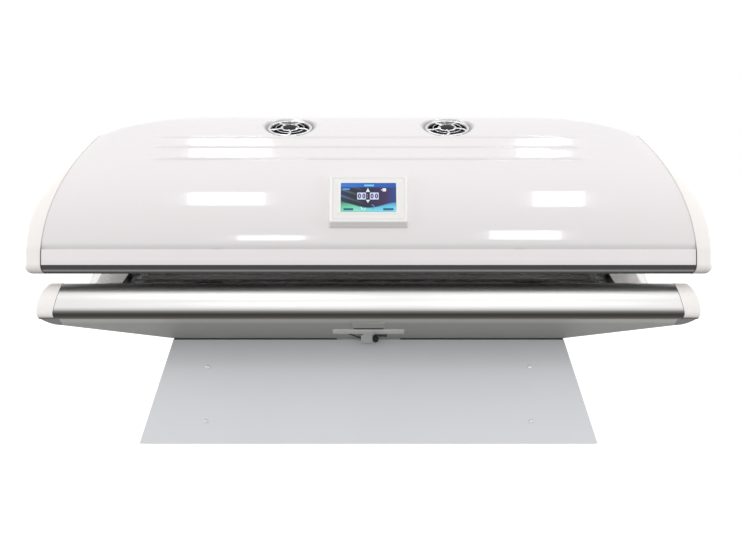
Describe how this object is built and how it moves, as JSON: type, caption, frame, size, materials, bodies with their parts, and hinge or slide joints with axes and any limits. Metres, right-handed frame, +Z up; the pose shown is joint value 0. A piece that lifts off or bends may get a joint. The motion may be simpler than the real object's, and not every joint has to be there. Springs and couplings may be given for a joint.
{
  "type": "red light therapy bed",
  "caption": "Lie-down light bed with a rounded hinged canopy over a shallow tub on a tapered pedestal, with curved clear sheets, lamp tubes, two top fans and a front control screen.",
  "frame": {"origin": "on the floor under the middle of the bed", "axes": "+X along the bed to the right as seen from the front, +Y from the front to the hinged back, +Z up"},
  "size_m": [1.9196, 0.88, 0.917],
  "materials": {
    "floor_pads": "matte black rubber",
    "pedestal_frame": "dark grey powder coat",
    "pedestal_front_panel": "light grey satin powder coat",
    "pedestal_back_panel": "light grey satin powder coat",
    "pedestal_left_panel": "light grey satin powder coat",
    "pedestal_right_panel": "light grey satin powder coat",
    "pedestal_screws": "zinc-plated button heads",
    "supply_case": "plain zinc-plated sheet",
    "mains_inlet": "black moulded",
    "mains_switch": "red moulded",
    "tub_bottom_plate": "mid-grey satin powder coat",
    "tub_front_panel": "mid-grey satin powder coat",
    "tub_back_panel": "mid-grey satin powder coat",
    "tub_left_panel": "mid-grey satin powder coat",
    "tub_right_panel": "mid-grey satin powder coat",
    "front_panel_pull": "mid-grey satin powder coat",
    "latch_strip": "dull bare aluminium",
    "latch_block": "dull bare aluminium",
    "latch_knob": "black moulded",
    "base_front_rail": "satin anodised",
    "base_back_rail": "satin anodised",
    "base_left_cap": "off-white, moulded",
    "base_right_cap": "off-white, moulded",
    "base_bulkheads": "plain zinc-plated sheet",
    "base_reflector": "bright rolled",
    "base_lamps": "red-coated fluorescent tubes",
    "base_lamp_caps": "bright",
    "base_lamp_holders": "white moulded",
    "base_ballasts": "grey cases",
    "lower_sheet": "clear acrylic",
    "hinge_brackets": "grey",
    "hinge_pins": "bright steel",
    "left_strut_cylinder": "black",
    "right_strut_cylinder": "black",
    "left_strut_rod": "polished",
    "right_strut_rod": "polished",
    "canopy_shell": "glossy off-white",
    "canopy_left_cap": "glossy off-white, slightly warmer",
    "canopy_right_cap": "glossy off-white, slightly warmer",
    "canopy_front_rail": "glossy off-white",
    "canopy_back_rail": "glossy off-white",
    "canopy_trim": "dark grey",
    "canopy_bulkheads": "plain zinc-plated sheet",
    "canopy_hoops": "plain",
    "canopy_reflector": "bright rolled",
    "canopy_lamps": "red-coated fluorescent tubes",
    "canopy_lamp_caps": "bright",
    "canopy_lamp_holders": "white moulded",
    "canopy_ballasts": "grey cases",
    "upper_sheet": "clear acrylic",
    "hinge_arms": "grey",
    "display_frame": "glossy white",
    "display_glass": "dark touch screen",
    "control_board": "circuit board in a tray",
    "fan_rings": "off-white moulded dish",
    "fan_guards": "polished chrome",
    "fan_housings": "black moulded",
    "fan_rotor_left": "black moulded",
    "fan_rotor_right": "black moulded"
  },
  "bodies": {
    "base": {"floor_pads": "floor_pads", "pedestal_frame": "pedestal_frame", "pedestal_front_panel": "pedestal_front_panel", "pedestal_back_panel": "pedestal_back_panel", "pedestal_left_panel": "pedestal_left_panel", "pedestal_right_panel": "pedestal_right_panel", "pedestal_screws": "pedestal_screws", "supply_case": "supply_case", "mains_inlet": "mains_inlet", "tub_bottom_plate": "tub_bottom_plate", "tub_front_panel": "tub_front_panel", "tub_back_panel": "tub_back_panel", "tub_left_panel": "tub_left_panel", "tub_right_panel": "tub_right_panel", "front_panel_pull": "front_panel_pull", "latch_strip": "latch_strip", "latch_block": "latch_block", "base_front_rail": "base_front_rail", "base_back_rail": "base_back_rail", "base_left_cap": "base_left_cap", "base_right_cap": "base_right_cap", "base_bulkheads": "base_bulkheads", "base_reflector": "base_reflector", "base_lamps": "base_lamps", "base_lamp_caps": "base_lamp_caps", "base_lamp_holders": "base_lamp_holders", "base_ballasts": "base_ballasts", "lower_sheet": "lower_sheet", "hinge_brackets": "hinge_brackets", "hinge_pins": "hinge_pins"},
    "canopy": {"canopy_shell": "canopy_shell", "canopy_left_cap": "canopy_left_cap", "canopy_right_cap": "canopy_right_cap", "canopy_front_rail": "canopy_front_rail", "canopy_back_rail": "canopy_back_rail", "canopy_trim": "canopy_trim", "canopy_bulkheads": "canopy_bulkheads", "canopy_hoops": "canopy_hoops", "canopy_reflector": "canopy_reflector", "canopy_lamps": "canopy_lamps", "canopy_lamp_caps": "canopy_lamp_caps", "canopy_lamp_holders": "canopy_lamp_holders", "canopy_ballasts": "canopy_ballasts", "upper_sheet": "upper_sheet", "hinge_arms": "hinge_arms", "display_frame": "display_frame", "display_glass": "display_glass", "control_board": "control_board", "fan_rings": "fan_rings", "fan_guards": "fan_guards", "fan_housings": "fan_housings"},
    "mains_rocker": {"mains_switch": "mains_switch"},
    "latch_knob": {"latch_knob": "latch_knob"},
    "left_strut_tube": {"left_strut_cylinder": "left_strut_cylinder"},
    "right_strut_tube": {"right_strut_cylinder": "right_strut_cylinder"},
    "left_strut_piston": {"left_strut_rod": "left_strut_rod"},
    "right_strut_piston": {"right_strut_rod": "right_strut_rod"},
    "left_fan": {"fan_rotor_left": "fan_rotor_left"},
    "right_fan": {"fan_rotor_right": "fan_rotor_right"}
  },
  "joints": [
    {"name": "canopy_hinge", "type": "hinge", "parent": "base", "child": "canopy", "pos_m": [0, 0.425, 0.476], "axis": [-1, 0, 0], "range_deg": [0, 45]},
    {"name": "left_strut_swing", "type": "hinge", "parent": "base", "child": "left_strut_tube", "pos_m": [-0.825, 0.28, 0.372], "axis": [-1, 0, 0], "range_deg": [0, 14]},
    {"name": "left_strut_slide", "type": "slide", "parent": "left_strut_tube", "child": "left_strut_piston", "axis": [0, 0.4318, 0.902], "range_m": [0, 0.057]},
    {"name": "right_strut_swing", "type": "hinge", "parent": "base", "child": "right_strut_tube", "pos_m": [0.825, 0.28, 0.372], "axis": [-1, 0, 0], "range_deg": [0, 14]},
    {"name": "right_strut_slide", "type": "slide", "parent": "right_strut_tube", "child": "right_strut_piston", "axis": [0, 0.4318, 0.902], "range_m": [0, 0.057]},
    {"name": "left_fan_spin", "type": "hinge", "parent": "canopy", "child": "left_fan", "pos_m": [-0.234, -0.13535, 0.89556], "axis": [0, -0.309, 0.9511], "continuous": true},
    {"name": "right_fan_spin", "type": "hinge", "parent": "canopy", "child": "right_fan", "pos_m": [0.234, -0.13535, 0.89556], "axis": [0, -0.309, 0.9511], "continuous": true},
    {"name": "latch_knob_turn", "type": "hinge", "parent": "base", "child": "latch_knob", "pos_m": [0.0205, -0.322, 0.287], "axis": [0, -1, 0], "range_deg": [0, 90]},
    {"name": "mains_rocker_tilt", "type": "hinge", "parent": "base", "child": "mains_rocker", "pos_m": [0.405, 0.37147, 0.11923], "axis": [-1, 0, 0], "range_deg": [0, 16]}
  ],
  "couplings": [
    {"joint": "left_strut_swing", "follows": "canopy_hinge", "ratio": 0.297},
    {"joint": "left_strut_slide", "follows": "canopy_hinge", "m_per_rad": 0.0707},
    {"joint": "right_strut_swing", "follows": "canopy_hinge", "ratio": 0.297},
    {"joint": "right_strut_slide", "follows": "canopy_hinge", "m_per_rad": 0.0707}
  ]
}
